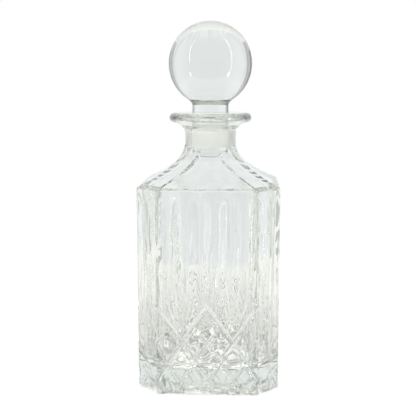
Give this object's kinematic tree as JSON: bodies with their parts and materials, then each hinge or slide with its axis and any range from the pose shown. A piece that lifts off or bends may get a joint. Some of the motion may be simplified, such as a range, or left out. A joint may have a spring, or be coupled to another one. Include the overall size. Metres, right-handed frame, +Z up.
{
  "type": "square glass decanter",
  "caption": "Square clear-glass decanter with cut corners and cut diamond sides, an eight-sided sloping shoulder, a round lipped neck and a solid ball stopper with a seal.",
  "frame": {"origin": "on the ground under the centre of the square base", "axes": "+Z up along the axis of the neck and the stopper; X and Y square to the flat sides; -Y is the front face"},
  "size_m": [0.09, 0.09, 0.2342],
  "materials": {
    "clear_glass": "clear, pressed and fire-polished, with wheel-cut and polished facets",
    "milky_polythene": "translucent milky moulded sleeve, soft satin"
  },
  "bodies": {
    "decanter": {"decanter_body": "clear_glass"},
    "seal": {"seal_sleeve": "milky_polythene"},
    "stopper": {"stopper": "clear_glass"}
  },
  "joints": [
    {"name": "stopper_lift", "type": "slide", "parent": "decanter", "child": "seal", "axis": [0, 0, 1], "range_m": [0, 0.06]},
    {"name": "stopper_turn", "type": "hinge", "parent": "seal", "child": "stopper", "pos_m": [0, 0, 0.1685], "axis": [0, 0, 1], "continuous": true}
  ]
}
